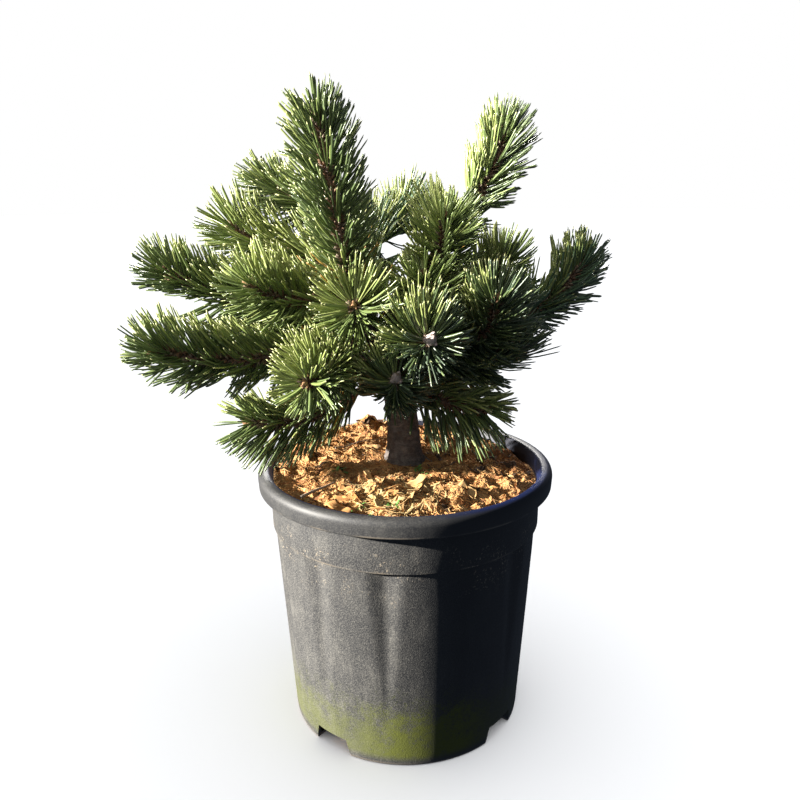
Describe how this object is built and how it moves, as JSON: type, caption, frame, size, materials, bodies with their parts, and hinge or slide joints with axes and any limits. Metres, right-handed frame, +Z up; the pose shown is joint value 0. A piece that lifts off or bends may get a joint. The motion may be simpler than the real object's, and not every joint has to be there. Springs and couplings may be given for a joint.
{
  "type": "potted dwarf pine",
  "caption": "Dwarf pine with bottle-brush shoots on curved boughs and a short flared trunk, in a round ribbed black nursery pot filled with compost and coir mulch",
  "frame": {"origin": "centre of the pot's flat underside, on the pot's axis, at ground level", "axes": "+Z up along the pot's axis; -Y is the side seen from the front, with the leading shoot left of the axis and leaning forward; +X to the right as seen from the front"},
  "size_m": [0.4526, 0.3521, 0.6138],
  "materials": {
    "pot": "grained black polypropylene, satin on the rim, with green algae on the lowest part",
    "compost": "orange-brown coir and bark shreds over dark compost",
    "bark": "grey-brown bark with faint rings",
    "needles": "dark green needles, yellow-green where the light falls"
  },
  "bodies": {
    "root": {"bough_back_high": "bark", "bough_back_left": "bark", "bough_back_left_low": "bark", "bough_back_low": "bark", "bough_back_middle": "bark", "bough_back_right": "bark", "bough_back_right_low": "bark", "bough_back_upper": "bark", "bough_centre": "bark", "bough_front_left": "bark", "bough_front_low": "bark", "bough_front_right": "bark", "bough_front_upper": "bark", "bough_left_bottom": "bark", "bough_left_high": "bark", "bough_left_inner": "bark", "bough_left_long": "bark", "bough_left_low": "bark", "bough_left_low_back": "bark", "bough_left_upper": "bark", "bough_right_bottom": "bark", "bough_right_front": "bark", "bough_right_high": "bark", "bough_right_inner": "bark", "bough_right_long": "bark", "bough_right_low": "bark", "bough_right_upper": "bark", "compost": "compost", "foliage_back_high": "needles", "foliage_back_left": "needles", "foliage_back_left_low": "needles", "foliage_back_low": "needles", "foliage_back_middle": "needles", "foliage_back_right": "needles", "foliage_back_right_low": "needles", "foliage_back_upper": "needles", "foliage_centre": "needles", "foliage_front_left": "needles", "foliage_front_low": "needles", "foliage_front_right": "needles", "foliage_front_upper": "needles", "foliage_leader": "needles", "foliage_left_bottom": "needles", "foliage_left_high": "needles", "foliage_left_inner": "needles", "foliage_left_long": "needles", "foliage_left_low": "needles", "foliage_left_low_back": "needles", "foliage_left_upper": "needles", "foliage_right_bottom": "needles", "foliage_right_front": "needles", "foliage_right_high": "needles", "foliage_right_inner": "needles", "foliage_right_long": "needles", "foliage_right_low": "needles", "foliage_right_upper": "needles", "pot": "pot", "trunk": "bark"}
  },
  "joints": []
}
